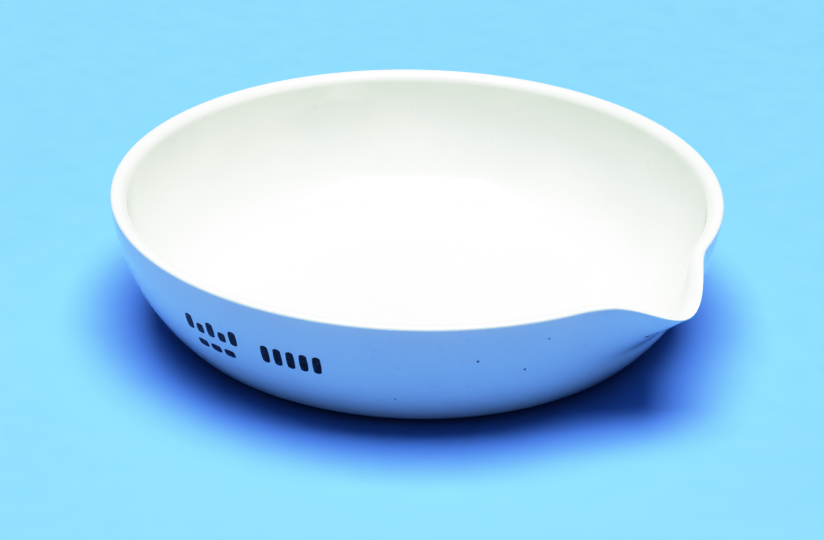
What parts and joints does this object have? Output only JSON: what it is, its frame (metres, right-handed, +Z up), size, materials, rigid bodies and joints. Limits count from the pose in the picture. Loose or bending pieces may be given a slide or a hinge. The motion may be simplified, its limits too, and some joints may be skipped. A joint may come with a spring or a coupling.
{
  "type": "evaporating dish",
  "caption": "Shallow glazed porcelain evaporating dish with a curved wall, a rounded rim, a pressed pour lip and a flat bare foot.",
  "frame": {"origin": "centre of the flat foot's underside, where the dish meets the bench", "axes": "+Z up out of the dish's mouth, +X towards the tip of the pour lip"},
  "size_m": [0.0913, 0.086, 0.0191],
  "materials": {
    "porcelain": "matte",
    "glaze": "gloss",
    "ink": "gloss"
  },
  "bodies": {
    "root": {"porcelain_body": "porcelain", "glaze_coat": "glaze", "batch_mark": "ink", "size_mark": "ink"}
  },
  "joints": []
}
